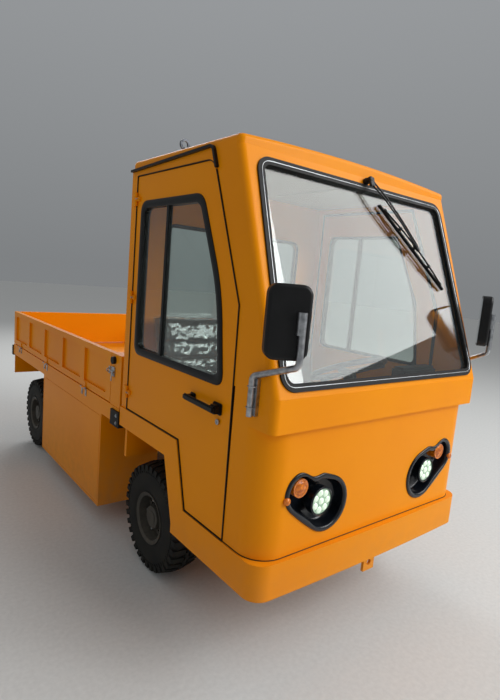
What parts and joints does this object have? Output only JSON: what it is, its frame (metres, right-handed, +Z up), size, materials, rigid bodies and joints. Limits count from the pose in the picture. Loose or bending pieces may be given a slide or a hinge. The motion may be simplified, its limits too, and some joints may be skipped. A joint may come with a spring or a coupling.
{
  "type": "electric platform truck",
  "caption": "Small electric flat-bed platform truck with an enclosed two-seat cab, drop-side load bed, opening doors, steered front wheels and free-turning wheels.",
  "frame": {"origin": "centre of the bounding box on the floor", "axes": "+Y rearwards along the truck with the nose at -Y, +X to the truck's left, +Z up"},
  "size_m": [1.4504, 3.495, 2.0409],
  "materials": {
    "orange": "satin",
    "black_steel": "satin",
    "tyre": "matte",
    "rubber": "matte",
    "glass": "clear",
    "plastic_black": "matte",
    "amber": "gloss",
    "lamp": "gloss",
    "red": "gloss",
    "steel": "satin",
    "seat": "matte",
    "motor": "satin"
  },
  "bodies": {
    "truck": {"chassis_frame": "black_steel", "cab_skirt": "orange", "cab_floor": "black_steel", "cab_front": "orange", "cab_brow": "orange", "cab_upper": "orange", "cab_roof": "orange", "cab_rear_wall": "orange", "windscreen_seal": "rubber", "windscreen_glass": "glass", "rear_glass": "glass", "drip_rails": "plastic_black", "dashboard": "plastic_black", "seats": "seat", "steering_column": "black_steel", "lamp_pods": "plastic_black", "headlamps": "lamp", "indicators": "amber", "wiper": "plastic_black", "mirror_arms": "steel", "mirror_heads": "plastic_black", "lifting_rings": "steel", "bed_frame": "orange", "bed_floor": "orange", "bed_members": "orange", "headboard": "orange", "rubber_blocks": "rubber", "hinge_straps": "steel", "rear_guards": "orange", "rear_lamps": "red", "battery_boxes": "orange", "leaf_springs": "black_steel", "front_axle": "black_steel", "rear_axle": "motor", "drive_motor": "motor", "tow_fittings": "orange"},
    "door_left": {"door_left": "orange", "door_trim_left": "plastic_black", "door_glass_left": "glass"},
    "side_board_left": {"side_board_left": "orange"},
    "knuckle_left": {"knuckle_left": "black_steel"},
    "wheel_front_left": {"tyre_front_left": "tyre", "rim_front_left": "black_steel"},
    "wheel_rear_left": {"tyre_rear_left": "tyre", "rim_rear_left": "black_steel"},
    "door_right": {"door_right": "orange", "door_trim_right": "plastic_black", "door_glass_right": "glass"},
    "side_board_right": {"side_board_right": "orange"},
    "knuckle_right": {"knuckle_right": "black_steel"},
    "wheel_front_right": {"tyre_front_right": "tyre", "rim_front_right": "black_steel"},
    "wheel_rear_right": {"tyre_rear_right": "tyre", "rim_rear_right": "black_steel"},
    "tailgate": {"tailgate": "orange"},
    "steering_wheel": {"steering_wheel": "plastic_black"}
  },
  "joints": [
    {"name": "door_hinge_left", "type": "hinge", "parent": "truck", "child": "door_left", "pos_m": [0.65, -0.5515, 1.2], "axis": [0, 0, 1], "range_deg": [0, 75]},
    {"name": "side_board_hinge_left", "type": "hinge", "parent": "truck", "child": "side_board_left", "pos_m": [0.652, 0.6, 0.748], "axis": [0, 1, 0], "range_deg": [0, 180]},
    {"name": "kingpin_left", "type": "hinge", "parent": "truck", "child": "knuckle_left", "pos_m": [0.4, -0.7595, 0.27], "axis": [0, 0, 1], "range_deg": [-28, 28]},
    {"name": "wheel_spin_front_left", "type": "hinge", "parent": "knuckle_left", "child": "wheel_front_left", "pos_m": [0.52, -0.7595, 0.27], "axis": [1, 0, 0], "continuous": true},
    {"name": "wheel_spin_rear_left", "type": "hinge", "parent": "truck", "child": "wheel_rear_left", "pos_m": [0.52, 1.2055, 0.27], "axis": [1, 0, 0], "continuous": true},
    {"name": "door_hinge_right", "type": "hinge", "parent": "truck", "child": "door_right", "pos_m": [-0.65, -0.5515, 1.2], "axis": [0, 0, -1], "range_deg": [0, 75]},
    {"name": "side_board_hinge_right", "type": "hinge", "parent": "truck", "child": "side_board_right", "pos_m": [-0.652, 0.6, 0.748], "axis": [0, -1, 0], "range_deg": [0, 180]},
    {"name": "kingpin_right", "type": "hinge", "parent": "truck", "child": "knuckle_right", "pos_m": [-0.4, -0.7595, 0.27], "axis": [0, 0, 1], "range_deg": [-28, 28]},
    {"name": "wheel_spin_front_right", "type": "hinge", "parent": "knuckle_right", "child": "wheel_front_right", "pos_m": [-0.52, -0.7595, 0.27], "axis": [1, 0, 0], "continuous": true},
    {"name": "wheel_spin_rear_right", "type": "hinge", "parent": "truck", "child": "wheel_rear_right", "pos_m": [-0.52, 1.2055, 0.27], "axis": [1, 0, 0], "continuous": true},
    {"name": "tailgate_hinge", "type": "hinge", "parent": "truck", "child": "tailgate", "pos_m": [0, 1.7225, 0.748], "axis": [-1, 0, 0], "range_deg": [0, 180]},
    {"name": "steering_wheel_turn", "type": "hinge", "parent": "truck", "child": "steering_wheel", "pos_m": [0.3, -1.15316, 1.02472], "axis": [0, 0.4226, 0.9063], "range_deg": [-540, 540]}
  ],
  "couplings": [
    {"joint": "kingpin_right", "follows": "kingpin_left", "ratio": 1},
    {"joint": "steering_wheel_turn", "follows": "kingpin_left", "ratio": 19.2}
  ]
}
